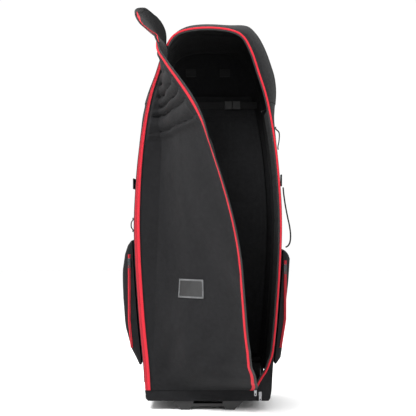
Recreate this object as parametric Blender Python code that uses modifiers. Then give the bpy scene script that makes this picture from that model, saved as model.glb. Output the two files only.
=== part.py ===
"""Soft golf travel case with wheels, standing upright, its lid unzipped and peeled to one side.

Metres, +Z up, front towards -Y. The origin is on the floor under the centre of the open case.
The body is sewn from separate wall panels round a moulded base, so its inside is open.
The lid stays zipped along its left side and turns about two crease lines.
"""
import math

import bmesh
import bpy
from mathutils import Matrix, Vector

# Driving sizes of the case.
FRONT = 0.0095  # y of the front plane, where the lid's zip runs
DEPTH = 0.360
BACK = FRONT + DEPTH
BASE_BOTTOM = 0.030
BASE_TOP = 0.092
HOOD_START = 1.030
HOOD_DROP = 0.030  # how much lower the hood is at the back than at the front
GAP = 0.0005  # between pieces that touch
PANEL = 0.006  # thickness of the stiffened wall panels
WALL_OUT = 0.002  # how far the walls stand outside the zip line at the front

# Half of the front opening's outline, bottom to top, as (x, z). It is smoothed into a curve.
HALF_OUTLINE = [
    (0.199, 0.030), (0.209, 0.062), (0.2145, 0.147), (0.230, 0.308), (0.2435, 0.520), (0.2445, 0.680),
    (0.2295, 0.871), (0.202, 1.032), (0.1715, 1.133), (0.146, 1.207),
    (0.117, 1.255), (0.072, 1.276), (0.000, 1.283),
]
# The opening's lower right corner, where the zip turns in towards the base, as (x, z).
ZIP_CORNER = [(0.160, 0.067), (0.169, 0.085), (0.183, 0.109), (0.199, 0.135), (0.2155, 0.180)]

# Lid.
LID_BACK = FRONT - 0.0035  # its inner face when shut
LID_THICK = 0.003
LID_BOTTOM = 0.0675
TAPE_WIDE = 0.010
TAPE_THICK = 0.0024
LEFT_ZIP_WIDE = 0.013
CREASE_LOW = (-0.188, 0.067)  # the crease beside the shut left zip, as (x, z)
CREASE_TOP = (-0.143, 1.213)
LID_OPEN = math.radians(48)  # how far the lid stands open about that crease
LID_SPLIT = 0.200  # below this the lid stays flat, where it is sewn to the front sill
TOP_LEAN = math.radians(8)  # lean of the second crease, about which the lid's top folds
TOP_OPEN = math.radians(44)
TOP_SPLIT = 0.930  # height on the crease where the padded top of the lid starts
CREASE_CLEAR = 0.003  # from a crease to the moving panel's edge
STRIP_CLEAR = 0.007  # from the crease to the edge of the strip that stays in place
STRIP_TOP = 1.070

# Wheels and foot.
WHEEL_R, WHEEL_WIDE = 0.045, 0.028
AXLE_R = 0.004
WHEEL_X = 0.152
WHEEL_Y = BACK - 0.034
HOUSING_WIDE, HOUSING_HIGH = 0.074, 0.098
HOUSING_AHEAD, HOUSING_BEHIND = 0.054, 0.033  # from the axle to the housing's front and rear faces
FOOT_HALF_TOP, FOOT_HALF_BOTTOM = 0.116, 0.088
FOOT_DEEP = 0.052
SLOT_HALF, SLOT_LOW = 0.049, 0.021
BAR_LOW = 0.0115

# Side pockets: where they start and end, front to back, and how far they stand out at a height.
POCKET_FRONT, POCKET_BACK = FRONT + 0.038, FRONT + 0.300
LEFT_POCKET = [
    (0.147, 0.2325), (0.170, 0.243), (0.207, 0.264), (0.270, 0.278), (0.370, 0.2885),
    (0.470, 0.2885), (0.520, 0.282), (0.550, 0.272), (0.566, 0.2605),
]
RIGHT_POCKET = [
    (0.150, 0.2320), (0.170, 0.2455), (0.207, 0.2525), (0.270, 0.2580), (0.370, 0.2670),
    (0.470, 0.2755), (0.505, 0.278), (0.522, 0.272), (0.532, 0.262),
]


def new_collection(name):
    made = bpy.data.collections.new(name)
    bpy.context.scene.collection.children.link(made)
    return made


for old in list(bpy.data.objects):
    bpy.data.objects.remove(old, do_unlink=True)
CASE = new_collection("golf_travel_case")
CUTTERS = new_collection("cutters")


# ---------------------------------------------------------------- materials

def material(name, colour, roughness, metallic=0.0):
    made = bpy.data.materials.get(name)
    if made is None:
        made = bpy.data.materials.new(name)
        made.use_nodes = True
        shader = made.node_tree.nodes["Principled BSDF"]
        shader.inputs["Base Color"].default_value = (*colour, 1)
        shader.inputs["Roughness"].default_value = roughness
        shader.inputs["Metallic"].default_value = metallic
    return made


FABRIC = ("black_fabric", (0.012, 0.012, 0.013), 0.85)
LINING = ("grey_lining", (0.035, 0.036, 0.040), 0.80)
RED_TAPE = ("red_zip_tape", (0.62, 0.020, 0.035), 0.70)
WEBBING = ("black_webbing", (0.010, 0.010, 0.011), 0.75)
PLASTIC = ("black_plastic", (0.018, 0.018, 0.019), 0.50)
RUBBER = ("wheel_rubber", (0.030, 0.030, 0.031), 0.65)
STEEL = ("steel", (0.55, 0.55, 0.56), 0.30, 1.0)
VINYL = ("window_vinyl", (0.060, 0.062, 0.065), 0.20)
PIPING = ("grey_piping", (0.330, 0.340, 0.345), 0.55)


# ---------------------------------------------------------------- mesh tools

def finish(obj, look, collection=CASE):
    obj.data.materials.clear()
    obj.data.materials.append(material(*look))
    for owner in list(obj.users_collection):
        owner.objects.unlink(obj)
    collection.objects.link(obj)
    return obj


def from_bmesh(name, mesh_data, look):
    mesh = bpy.data.meshes.new(name)
    bmesh.ops.recalc_face_normals(mesh_data, faces=mesh_data.faces)
    mesh_data.to_mesh(mesh)
    mesh_data.free()
    obj = bpy.data.objects.new(name, mesh)
    CASE.objects.link(obj)
    return finish(obj, look)


def box(name, low, high, look, bevel=0.0, segments=2):
    low, high = Vector(low), Vector(high)
    work = bmesh.new()
    bmesh.ops.create_cube(work, size=1.0)
    size = high - low
    bmesh.ops.scale(work, vec=size, verts=work.verts)
    bmesh.ops.translate(work, vec=(low + high) / 2, verts=work.verts)
    obj = from_bmesh(name, work, look)
    if bevel:
        round_edges(obj, bevel, segments)
    return obj


def cylinder(name, centre, radius, length, axis, look, sides=32, bevel=0.0):
    work = bmesh.new()
    bmesh.ops.create_cone(
        work, cap_ends=True, segments=sides, radius1=radius, radius2=radius, depth=length
    )
    turn = Vector((0, 0, 1)).rotation_difference(Vector(axis)).to_matrix()
    bmesh.ops.rotate(work, matrix=turn, verts=work.verts)
    bmesh.ops.translate(work, vec=centre, verts=work.verts)
    obj = from_bmesh(name, work, look)
    if bevel:
        round_edges(obj, bevel, 1)
    return obj


def round_edges(obj, width, segments=2, angle=40):
    bevel = obj.modifiers.new("round", "BEVEL")
    bevel.width = width
    bevel.segments = segments
    bevel.limit_method = "ANGLE"
    bevel.angle_limit = math.radians(angle)


def as_cutter(obj):
    for owner in list(obj.users_collection):
        owner.objects.unlink(obj)
    CUTTERS.objects.link(obj)
    obj.hide_render = True
    obj.display_type = "WIRE"
    return obj


def cut(obj, cutter, operation="DIFFERENCE"):
    step = obj.modifiers.new(operation.lower(), "BOOLEAN")
    step.operation = operation
    step.solver = "EXACT"
    step.object = as_cutter(cutter)
    return obj


def grid_shell(name, rows, thickness, look):
    """An open surface through rows of points, thickened inwards."""
    work = bmesh.new()
    verts = [[work.verts.new(point) for point in row] for row in rows]
    for row, following in zip(verts, verts[1:]):
        for i in range(len(row) - 1):
            work.faces.new((row[i], following[i], following[i + 1], row[i + 1]))
    mesh = bpy.data.meshes.new(name)
    work.to_mesh(mesh)
    work.free()
    obj = bpy.data.objects.new(name, mesh)
    CASE.objects.link(obj)
    shell = obj.modifiers.new("thickness", "SOLIDIFY")
    shell.thickness = thickness
    shell.offset = -1.0
    shell.use_even_offset = True
    return finish(obj, look)


def loft(name, rings, look):
    """A closed solid through rings of points, with flat ends."""
    work = bmesh.new()
    verts = [[work.verts.new(point) for point in ring] for ring in rings]
    count = len(verts[0])
    for ring, following in zip(verts, verts[1:]):
        for i in range(count):
            j = (i + 1) % count
            work.faces.new((ring[i], ring[j], following[j], following[i]))
    work.faces.new(verts[0][::-1])
    work.faces.new(verts[-1])
    return from_bmesh(name, work, look)


def plate(name, outline, y_front, y_back, look, holes=()):
    """A flat piece standing in the XZ plane, from its outline as (x, z) points."""
    curve = bpy.data.curves.new(name, "CURVE")
    curve.dimensions = "2D"
    curve.fill_mode = "BOTH"
    curve.extrude = (y_back - y_front) / 2
    for ring in [outline, *holes]:
        spline = curve.splines.new("POLY")
        spline.points.add(len(ring) - 1)
        for point, (x, z) in zip(spline.points, ring):
            point.co = (x, z, 0, 1)
        spline.use_cyclic_u = True
    flat = bpy.data.objects.new(name + "_outline", curve)
    CASE.objects.link(flat)
    flat.rotation_euler = (math.pi / 2, 0, 0)
    flat.location = (0, (y_front + y_back) / 2, 0)
    bpy.context.view_layer.update()
    seen = flat.evaluated_get(bpy.context.evaluated_depsgraph_get())
    mesh = bpy.data.meshes.new_from_object(seen)
    mesh.transform(flat.matrix_world)
    bpy.data.objects.remove(flat, do_unlink=True)
    work = bmesh.new()
    work.from_mesh(mesh)
    bpy.data.meshes.remove(mesh)
    bmesh.ops.remove_doubles(work, verts=work.verts, dist=0.00001)
    return from_bmesh(name, work, look)


def band_outline(path, width, side=0.0):
    """The outline of a flat band along a path. side -1 to 1 puts the path at its left or right edge."""
    left, right = [], []
    for i, here in enumerate(path):
        before, after = path[max(i - 1, 0)], path[min(i + 1, len(path) - 1)]
        along = (Vector(after) - Vector(before)).normalized()
        out = Vector((-along.y, along.x))
        left.append(tuple(Vector(here) + out * width * (0.5 - side / 2)))
        right.append(tuple(Vector(here) - out * width * (0.5 + side / 2)))
    return left + right[::-1]


def strap(name, path, across, wide, thick, look):
    """Flat webbing along a path, its width along the direction across."""
    rings = []
    side = Vector(across).normalized() * wide / 2
    for i, here in enumerate(path):
        before, after = Vector(path[max(i - 1, 0)]), Vector(path[min(i + 1, len(path) - 1)])
        out = (after - before).cross(side).normalized() * thick / 2
        here = Vector(here)
        rings.append([here - side - out, here + side - out, here + side + out, here - side + out])
    return loft(name, rings, look)


def smooth(points, steps):
    """Points on a smooth curve through the given ones, with steps to each stretch."""
    pts = [Vector(p) for p in points]
    pts = [pts[0] * 2 - pts[1], *pts, pts[-1] * 2 - pts[-2]]
    curve = []
    for a, b, c, d in zip(pts, pts[1:], pts[2:], pts[3:]):
        for k in range(steps):
            t = k / steps
            curve.append(
                0.5 * (2 * b + (c - a) * t + (2 * a - 5 * b + 4 * c - d) * t * t
                       + (3 * b - 3 * c + d - a) * t ** 3)
            )
    return [tuple(p) for p in curve] + [tuple(pts[-2])]


def value_at(pairs, at):
    """The second number of a list of pairs, between its entries in a straight line."""
    for (a, low), (b, high) in zip(pairs, pairs[1:]):
        if at <= b:
            return low + (high - low) * max(0.0, at - a) / (b - a)
    return pairs[-1][1]


# ---------------------------------------------------------------- outline of the case

OUTLINE_STEPS = 3
RIGHT_HALF = smooth(HALF_OUTLINE + [(-HALF_OUTLINE[-2][0], HALF_OUTLINE[-2][1])], OUTLINE_STEPS)
RIGHT_HALF = RIGHT_HALF[: (len(HALF_OUTLINE) - 1) * OUTLINE_STEPS + 1]
WIDTH_BY_HEIGHT = [(z, x) for x, z in RIGHT_HALF]


def half_width(z):
    return value_at(WIDTH_BY_HEIGHT, z)


def side_line(low, high, count):
    """Right-hand outline points between two heights, bottom to top."""
    heights = [low + (high - low) * i / (count - 1) for i in range(count)]
    return [(half_width(z), z) for z in heights]


def hood_line(low):
    """Outline from the right at height low, over the top, to the left."""
    right = [(half_width(low), low)] + [p for p in RIGHT_HALF if p[1] > low + 0.01]
    return right + [(-x, z) for x, z in right[-2::-1]]


def bulge(share, z):
    """How far the wall stands out of the outline, share of the way from front to back."""
    height = min(1.0, max(0.0, (z - 0.86) / 0.28))
    height = height * height * (3 - 2 * height)
    round_back = 0.014 * max(0.0, (share - 0.80) / 0.20) ** 2
    return WALL_OUT + (0.007 + 0.019 * height) * math.sin(math.pi * min(share, 0.94)) ** 0.7 - round_back


DEPTH_STEPS = [0.0, 0.08, 0.2, 0.4, 0.6, 0.8, 0.92, 1.0]


def wall_line(line, share, deeper=0.0):
    """The wall's points at a share of the depth, following an outline and its bulge."""
    row = []
    for i, here in enumerate(line):
        before, after = line[max(i - 1, 0)], line[min(i + 1, len(line) - 1)]
        along = (Vector(after) - Vector(before)).normalized()
        out = Vector((along.y, -along.x)) * (bulge(share, here[1]) - deeper)
        drop = HOOD_DROP * share * share * min(1.0, max(0.0, (here[1] - HOOD_START) / 0.25))
        row.append((here[0] + out.x, FRONT + DEPTH * share, here[1] + out.y - drop))
    return row


def wall_rows(line):
    return [wall_line(line, share) for share in DEPTH_STEPS]


def mirrored(rows):
    return [[(-x, y, z) for x, y, z in row[::-1]] for row in rows]


# ---------------------------------------------------------------- body

def walls():
    right = wall_rows(side_line(BASE_TOP + GAP, HOOD_START - GAP, 16))
    grid_shell("right_side_panel", right, PANEL, FABRIC)
    grid_shell("left_side_panel", mirrored(right), PANEL, FABRIC)
    grid_shell("padded_hood", wall_rows(hood_line(HOOD_START + GAP)), 0.012, FABRIC)


def back_panel():
    """A stiffened flat panel that closes the back, inside the side panels' rear edges."""
    low = BASE_BOTTOM + HOUSING_HIGH + 0.002
    side = side_line(low, HOOD_START, 14)
    line = side[:-1] + hood_line(HOOD_START) + [(-x, z) for x, z in side[-2::-1]]
    outline = [(x, z) for x, _, z in wall_line(line, 0.97, 0.0200)]
    tongue = WHEEL_X - HOUSING_WIDE / 2 - 0.002  # the part that reaches down between the housings
    outline += [(-tongue, low), (-tongue, BASE_TOP + GAP), (tongue, BASE_TOP + GAP), (tongue, low)]
    plate("back_panel", outline, BACK - 0.012, BACK - 0.007, FABRIC)


def lining():
    """Padded grey lining on the side walls and the back, inside the panels."""
    deep = DEPTH - 0.080
    for side, name in ((1, "right_lining_pad"), (-1, "left_lining_pad")):
        rows = []
        for share in (0.03, 0.25, 0.5, 0.75, 1.0):
            row = [
                (half_width(z) - 0.0065 + 0.005 * math.sin(math.pi * share), FRONT + deep * share, z)
                for z in (0.11, 0.25, 0.40, 0.55, 0.70, 0.85, 1.0)
            ]
            rows.append(row)
        rows = rows if side > 0 else mirrored(rows)
        grid_shell(name, rows, 0.006, LINING)
    pad = [(half_width(z) - 0.030, z) for z in (0.15, 0.35, 0.55, 0.75, 0.95, 1.08)]
    outline = pad + [(-x, z) for x, z in pad[::-1]]
    plate("back_lining_pad", outline, BACK - 0.0195, BACK - 0.0125, LINING)


def base():
    """Moulded tray under the case, notched at the rear corners for the wheel housings."""
    wide = half_width(0.060) + WALL_OUT
    tray = box("base_tray", (-wide, FRONT, BASE_BOTTOM), (wide, BACK, BASE_TOP), PLASTIC)
    round_edges(tray, 0.012, 3)
    wall = 0.005
    hollow = box("tray_hollow", (-wide + wall, FRONT + wall, BASE_BOTTOM + wall),
                 (wide - wall, BACK - wall, BASE_TOP + 0.02), PLASTIC)
    cut(tray, hollow)
    for side in (-1, 1):
        low, high = housing_box(side)
        grow = Vector((GAP, GAP, GAP))
        low, high = Vector(low) - grow, Vector(high) + grow
        low.z, high.y = 0.0, BACK + 0.05
        if side > 0:
            high.x = wide + 0.05
        else:
            low.x = -wide - 0.05
        cut(tray, box(f"housing_notch_{side}", low, high, PLASTIC))


def housing_box(side):
    x = side * WHEEL_X
    low = (x - HOUSING_WIDE / 2, WHEEL_Y - HOUSING_AHEAD, BASE_BOTTOM)
    return low, (x + HOUSING_WIDE / 2, WHEEL_Y + HOUSING_BEHIND, BASE_BOTTOM + HOUSING_HIGH)


def wheels():
    for side, word in ((-1, "left"), (1, "right")):
        x = side * WHEEL_X
        centre = Vector((x, WHEEL_Y, WHEEL_R))
        low, high = housing_box(side)
        housing = box(f"{word}_wheel_housing", low, high, PLASTIC, 0.006)
        well_r, well_half = WHEEL_R + 0.005, WHEEL_WIDE / 2 + 0.003
        cut(housing, cylinder(f"{word}_well", centre, well_r, 2 * well_half, (1, 0, 0), PLASTIC, 40))
        cut(housing, box(f"{word}_well_mouth", (x - well_half + 0.0002, WHEEL_Y - well_r + 0.004, -0.01),
                         (x + well_half - 0.0002, WHEEL_Y + 0.10, WHEEL_R + 0.004), PLASTIC))
        cut(housing, cylinder(f"{word}_axle_hole", centre, AXLE_R + 0.0003, 0.2, (1, 0, 0), PLASTIC, 24))
        cylinder(f"{word}_axle", centre, AXLE_R, HOUSING_WIDE - 0.004, (1, 0, 0), STEEL, 24, 0.0006)
        turned(f"{word}_wheel_tyre", centre, tyre_profile(), RUBBER, 40)
        turned(f"{word}_wheel_hub", centre, hub_profile(), PLASTIC, 32)
        for inner in (-1, 1):
            seat = centre + Vector((inner * (WHEEL_WIDE / 2 - 0.0045), 0, 0))
            place = "inner" if inner * side < 0 else "outer"
            turned(f"{word}_{place}_bearing", seat, ring_profile(AXLE_R + 0.0003, 0.0107, 0.007), STEEL, 24)


def ring_profile(inner, outer, wide):
    half = wide / 2
    return [(inner, half), (outer, half), (outer, -half), (inner, -half)]


def tyre_profile():
    half = WHEEL_WIDE / 2
    return [(0.0303, half - 0.002), (0.040, half), (0.0437, half - 0.004), (WHEEL_R, 0.0),
            (0.0437, 0.004 - half), (0.040, -half), (0.0303, 0.002 - half)]


def hub_profile():
    """Hub with a bearing seat at each end and a web between, so its bore is stepped."""
    half = WHEEL_WIDE / 2 - 0.0015
    seat = half - 0.0070
    return [(0.0110, half), (0.0300, half - 0.001), (0.0300, 0.001 - half), (0.0110, -half),
            (0.0110, -seat), (0.0060, -seat), (0.0060, seat), (0.0110, seat)]


def turned(name, centre, profile, look, steps):
    """A ring turned about the X axis from its closed profile of (radius, offset) points."""
    work = bmesh.new()
    verts = []
    for k in range(steps):
        angle = math.tau * k / steps
        verts.append([
            work.verts.new((offset, radius * math.cos(angle), radius * math.sin(angle)))
            for radius, offset in profile
        ])
    for k in range(steps):
        ring, following = verts[k], verts[(k + 1) % steps]
        for i in range(len(profile)):
            j = (i + 1) % len(profile)
            work.faces.new((ring[i], ring[j], following[j], following[i]))
    obj = from_bmesh(name, work, look)
    obj.location = centre
    return obj


def foot():
    """Moulded front foot: two blocks on the floor, joined by a bar that is also a lifting grip."""
    low, high = 0.0, BASE_BOTTOM - GAP
    outline = [
        (-FOOT_HALF_TOP, high), (-FOOT_HALF_TOP, high - 0.004), (-FOOT_HALF_BOTTOM, low),
        (-SLOT_HALF - 0.012, low), (-SLOT_HALF - 0.004, BAR_LOW), (SLOT_HALF + 0.004, BAR_LOW),
        (SLOT_HALF + 0.012, low), (FOOT_HALF_BOTTOM, low), (FOOT_HALF_TOP, high - 0.004),
        (FOOT_HALF_TOP, high), (SLOT_HALF, high), (SLOT_HALF, SLOT_LOW),
        (-SLOT_HALF, SLOT_LOW), (-SLOT_HALF, high),
    ]
    plate("front_foot", outline, FRONT + 0.004, FRONT + 0.004 + FOOT_DEEP, PLASTIC)
    for side, word in ((-1, "left"), (1, "right")):
        x = side * (SLOT_HALF + 0.022)
        y = FRONT + 0.004 + FOOT_DEEP / 2
        head = (x, y, BASE_BOTTOM + 0.0072)
        cylinder(f"foot_screw_{word}", head, 0.0055, 0.0035, (0, 0, 1), STEEL, 16)


# ---------------------------------------------------------------- zips round the opening

def opening_path():
    """The body's side of the zip: from the sliders, up the right and over to the crease's top."""
    corner = smooth(ZIP_CORNER, 2)
    right = [p for p in RIGHT_HALF if p[1] > ZIP_CORNER[-1][1] + 0.02]
    left = [(-x, z) for x, z in RIGHT_HALF[-2::-1] if z > CREASE_TOP[1] + 0.004]
    return corner + right + left


def front_sill():
    """Fabric strip under the lid, with the corner that the zip leaves on the right."""
    edge = [(x + 0.0055, z - 0.003) for x, z in smooth(ZIP_CORNER, 2)]
    right = [(half_width(z) + 0.004, z) for z in (0.032, 0.09, 0.13, 0.17, 0.215)]
    left_x = -half_width(0.05) - 0.003
    outline = [(left_x + 0.004, 0.032), *right, (half_width(0.215) + 0.0010, 0.215), *edge[::-1],
               (edge[0][0], LID_BOTTOM - 0.002), (left_x, LID_BOTTOM - 0.002)]
    plate("front_sill", outline, FRONT - 0.0030, FRONT - 0.0004, FABRIC)


def zips():
    tape = band_outline(opening_path(), TAPE_WIDE, -1.0)
    plate("body_zip_tape", tape, FRONT - GAP - TAPE_THICK, FRONT - GAP, RED_TAPE)
    low, high = LID_BOTTOM, CREASE_TOP[1] - 0.012
    line = [(-half_width(z), z) for z in [low + (high - low) * i / 20 for i in range(21)]]
    left = band_outline(line, LEFT_ZIP_WIDE, 1.0)
    plate("left_zip", left, LID_BACK - LID_THICK, LID_BACK, RED_TAPE)


# ---------------------------------------------------------------- lid

def crease_x(z):
    (x0, z0), (x1, z1) = CREASE_LOW, CREASE_TOP
    return x0 + (x1 - x0) * (z - z0) / (z1 - z0)


def lid_edge(low, high):
    """The lid's free edge, bottom to top, as far as the height high on the right."""
    corner = [p for p in smooth(ZIP_CORNER, 2) if low <= p[1] <= high]
    right = [p for p in RIGHT_HALF if max(low, ZIP_CORNER[-1][1] + 0.01) < p[1] < high]
    ends = [(half_width(low), low)] if low > ZIP_CORNER[-1][1] else []
    return ends + corner + right + ([(half_width(high), high)] if high < 1.2 else [])


def inset_edge(edge, amount):
    """The edge moved into the panel by an amount."""
    moved = []
    for i, here in enumerate(edge):
        before, after = edge[max(i - 1, 0)], edge[min(i + 1, len(edge) - 1)]
        along = (Vector(after) - Vector(before)).normalized()
        moved.append((here[0] - along.y * amount, here[1] + along.x * amount))
    return moved


def lid_plates():
    """The lid in its parts, laid flat as when shut. Returns the pieces of each moving group."""
    y0, y1 = LID_BACK - LID_THICK, LID_BACK
    tape_y = (y0 + 0.0003, y0 + 0.0003 + TAPE_THICK)
    inset = TAPE_WIDE + GAP
    top_z = CREASE_TOP[1]

    # Beside the lid's top the strip keeps clear of the second crease, which leans further left.
    left = [(-half_width(z) + LEFT_ZIP_WIDE + 0.0022, z)
            for z in (LID_SPLIT + 0.010, 0.35, 0.5, 0.65, 0.8, 0.9, 0.95, 0.98, 1.01, 1.04, STRIP_TOP)]
    right = [(CREASE_TOP[0] - (top_z - z) * math.tan(TOP_LEAN), z) for z in (STRIP_TOP, TOP_SPLIT - 0.020)]
    right += [(crease_x(z), z) for z in (TOP_SPLIT - 0.024, LID_SPLIT + 0.010)]
    strip = left + [(x - STRIP_CLEAR, z) for x, z in right]
    plate("lid_hinge_strip", strip, y0, y1, FABRIC)

    def panel(name, edge, base_points):
        return plate(name, base_points + inset_edge(edge, inset), y0, y1, FABRIC)

    def tape(name, edge):
        return plate(name, band_outline(edge, TAPE_WIDE, -1.0), *tape_y, RED_TAPE)

    seam = CREASE_CLEAR
    edge = lid_edge(LID_BOTTOM, LID_SPLIT - GAP)
    start = [(-half_width(LID_SPLIT) + LEFT_ZIP_WIDE + 0.001, LID_SPLIT - GAP),
             (-half_width(LID_BOTTOM) + LEFT_ZIP_WIDE + 0.001, LID_BOTTOM)]
    panel("lid_bottom_panel", edge, start)
    tape("lid_bottom_tape", edge)

    # The padded top starts on a line square to its own crease, so the two never meet as it folds.
    across = half_width(TOP_SPLIT - 0.05) - crease_x(TOP_SPLIT)
    edge_z = TOP_SPLIT - math.tan(TOP_LEAN) * across
    edge = lid_edge(LID_SPLIT + GAP, edge_z - GAP)
    start = [(crease_x(TOP_SPLIT) + seam, TOP_SPLIT - GAP),
             (crease_x(LID_SPLIT) + seam, LID_SPLIT + GAP)]
    main = [panel("lid_main_panel", edge, start), tape("lid_main_tape", edge)]

    right = [(half_width(edge_z + GAP), edge_z + GAP)] + [p for p in RIGHT_HALF if p[1] > edge_z + 0.01]
    over = [(-x, z) for x, z in RIGHT_HALF[-2::-1] if z > top_z + 0.010]
    edge = right + over
    start = [(crease_x(top_z) + 0.012, top_z + 0.004), (crease_x(top_z) + 0.008, top_z - 0.010),
             (crease_x(TOP_SPLIT) + seam, TOP_SPLIT + GAP)]
    top = [panel("lid_top_panel", edge, start), tape("lid_top_tape", edge)]
    return main, top


def id_pocket(panel_front):
    """A clear pocket for a name card on the lid's outside, with a piped border."""
    centre, half_wide, half_high = (-0.026, 0.412), 0.054, 0.034

    def rectangle(grow):
        w, h = half_wide + grow, half_high + grow
        return [(centre[0] + sx * w, centre[1] + sz * h) for sx, sz in ((-1, -1), (1, -1), (1, 1), (-1, 1))]

    y = panel_front - 0.0004
    card = plate("id_card", rectangle(-0.008), y - 0.0008, y, LINING)
    window = plate("id_window", rectangle(-0.0065), y - 0.0018, y - 0.0012, VINYL)
    frame = plate("id_frame", rectangle(0.0), y - 0.0030, y, PIPING, [rectangle(-0.006)])
    return [card, window, frame]


def place_lid():
    """Turns the lid's groups out of the front plane about their creases."""
    main, top = lid_plates()
    mid_y = LID_BACK - LID_THICK / 2
    foot_of_crease = Vector((CREASE_LOW[0], mid_y, CREASE_LOW[1]))
    pivot = Vector((CREASE_TOP[0], mid_y, CREASE_TOP[1]))
    crease = (foot_of_crease - pivot).normalized()
    second = -Vector((math.sin(TOP_LEAN), 0, math.cos(TOP_LEAN)))

    hinge = bpy.data.objects.new("lid_crease", None)
    CASE.objects.link(hinge)
    hinge.location = pivot
    hinge.rotation_mode = "QUATERNION"
    hinge.rotation_quaternion = Matrix.Rotation(LID_OPEN, 3, crease).to_quaternion()
    fold = bpy.data.objects.new("lid_top_crease", None)
    CASE.objects.link(fold)
    fold.parent = hinge
    fold.rotation_mode = "QUATERNION"
    fold.rotation_quaternion = Matrix.Rotation(TOP_OPEN, 3, second).to_quaternion()
    main += id_pocket(LID_BACK - LID_THICK)
    for group, holder in ((main, hinge), (top, fold)):
        for piece in group:
            piece.data.transform(Matrix.Translation(-pivot))
            piece.parent = holder


# ---------------------------------------------------------------- sliders and pulls

def slider(name, centre):
    """Zip slider lying on the front of its tape, with a bail over the pull's eye."""
    x, y, z = centre
    body = box(name, (x - 0.0050, y - 0.0040, z - 0.0065), (x + 0.0050, y, z + 0.0065), STEEL, 0.0012, 1)
    bridge = box(name + "_bail", (x - 0.0012, y - 0.0085, z - 0.0050),
                 (x + 0.0012, y - 0.0030, z + 0.0050), STEEL)
    gap = box(name + "_eye", (x - 0.01, y - 0.0066, z - 0.0032), (x + 0.01, y - 0.0039, z + 0.0032), STEEL)
    cut(body, bridge, "UNION")
    cut(body, gap)
    return body


def pull(name, centre, length):
    """Flat pull tab hanging from a slider's bail by the bar at its top."""
    x, y, z = centre
    mid_y = y - 0.00525
    half, thick = 0.0042, 0.00075
    low = z - length
    outline = [(x - half, z + 0.0016), (x - half, low + 0.003), (x - half + 0.002, low),
               (x + half - 0.002, low), (x + half, low + 0.003), (x + half, z + 0.0016)]
    eye = [(x - 0.0022, z - 0.0070), (x + 0.0022, z - 0.0070), (x + 0.0022, z), (x - 0.0022, z)]
    low_eye = [(x - 0.0022, low + 0.004), (x + 0.0022, low + 0.004),
               (x + 0.0022, low + 0.009), (x - 0.0022, low + 0.009)]
    obj = plate(name, outline, mid_y - thick, mid_y + thick, STEEL, [eye, low_eye])
    pivot = Vector((x, mid_y, z + 0.0008))
    obj.data.transform(Matrix.Translation(-pivot))
    obj.location = pivot
    return obj


MAIN_SLIDERS = {"upper": (0.1585, 0.0745), "lower": (0.1745, 0.0560)}
SLIDER_Y = LID_BACK - LID_THICK - GAP


def main_sliders():
    for word, (x, z) in MAIN_SLIDERS.items():
        slider(f"main_slider_{word}", (x, SLIDER_Y, z))
        pull(f"main_pull_{word}", (x, SLIDER_Y, z), 0.026)


# ---------------------------------------------------------------- pockets

def pocket(word, side, bulges, zip_x, zip_low, zip_high):
    """A closed soft pocket on a side wall, with an upright zip on its front face."""
    rings = []
    for z, out in bulges:
        inner = half_width(z) + WALL_OUT + 0.0090
        soft = min(0.026, (out - inner) * 0.8)
        y0, y1 = POCKET_FRONT, POCKET_BACK
        ring = [(inner, y0 + 0.004), (out - soft, y0), (out - soft * 0.3, y0 + soft * 0.3), (out, y0 + soft),
                (out, y1 - soft), (out - soft * 0.3, y1 - soft * 0.3), (out - soft, y1), (inner, y1 - 0.004)]
        ring = [(side * x, y, z) for x, y in ring]
        rings.append(ring if side > 0 else ring[::-1])
    loft(f"{word}_pocket", rings, FABRIC)
    y = POCKET_FRONT - 0.0006
    steps = [zip_low + (zip_high - zip_low) * i / 8 for i in range(9)]
    line = [(side * zip_x(z), z) for z in steps]
    plate(f"{word}_pocket_zip", band_outline(line, 0.008), y - 0.0022, y, RED_TAPE)
    top = Vector((side * zip_x(zip_high - 0.02), y - 0.0027, zip_high - 0.02))
    slider(f"{word}_pocket_slider", top)
    pull(f"{word}_pocket_pull", top, 0.026)


# ---------------------------------------------------------------- straps and handles

SIDE_STRAP = [(0.2590, 0.748), (0.2610, 0.725), (0.2660, 0.690), (0.2735, 0.650), (0.2810, 0.615),
              (0.2845, 0.585), (0.2830, 0.562), (0.2770, 0.548), (0.2680, 0.5415)]
STRAP_Y = FRONT + 0.115
TAB_Y = FRONT + 0.030
STRAP_WIDE, STRAP_THICK = 0.036, 0.0030


def tab(name, side, offsets):
    """A folded webbing tab on a side wall, from its (height, distance off the outline) points."""
    path = [(side * (half_width(z) + off), TAB_Y, z) for z, off in offsets]
    strap(name, path, (0, 1, 0), 0.025, 0.0026, WEBBING)


def straps():
    path = [(x, STRAP_Y, z) for x, z in smooth(SIDE_STRAP, 2)]
    strap("side_strap", path, (0, 1, 0), STRAP_WIDE, STRAP_THICK, WEBBING)
    wall_x = half_width(0.77) + WALL_OUT + 0.0085
    box("side_strap_anchor", (wall_x, STRAP_Y - 0.021, 0.752), (wall_x + 0.0045, STRAP_Y + 0.021, 0.792),
        WEBBING, 0.001, 1)
    tab("right_tab", 1, [(0.874, 0.0079), (0.884, 0.0083), (0.905, 0.0150), (0.931, 0.0190),
                         (0.943, 0.0103), (0.951, 0.0105)])
    tab("left_tab", -1, [(0.596, 0.0077), (0.604, 0.0077), (0.612, 0.0130), (0.628, 0.0130),
                         (0.636, 0.0077), (0.644, 0.0077)])
    x = half_width(0.76) + WALL_OUT + 0.0085
    box("left_side_strap", (-x - 0.0025, FRONT + 0.020, 0.741), (-x, BACK - 0.07, 0.777), WEBBING, 0.0008, 1)


HANDLE_Z, HANDLE_HALF, HANDLE_DROP = 1.150, 0.062, 0.075
HANDLE_Y = BACK + 0.013


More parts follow.
